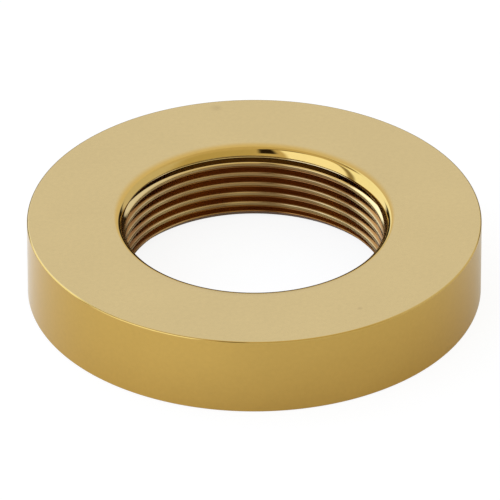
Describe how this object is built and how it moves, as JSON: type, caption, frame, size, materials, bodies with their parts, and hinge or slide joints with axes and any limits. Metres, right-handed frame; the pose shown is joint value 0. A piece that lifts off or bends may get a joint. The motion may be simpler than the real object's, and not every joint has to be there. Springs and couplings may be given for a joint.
{
  "type": "faucet handle flange",
  "caption": "Flat polished brass ring with a threaded bore, a rounded lip at its top and a straight rim; it screws onto a valve's neck under a faucet handle.",
  "frame": {"origin": "on the ring's axis, at the level of its flat underside", "axes": "+Z along the ring's axis, from the underside towards the handle; the picture looks along +Y and down, so -Y is the near side and +X is to the right"},
  "size_m": [0.0584, 0.0584, 0.0105],
  "materials": {
    "polished_brass": "polished and lacquered, with the top face finely turned"
  },
  "bodies": {
    "root": {"flange": "polished_brass"}
  },
  "joints": []
}
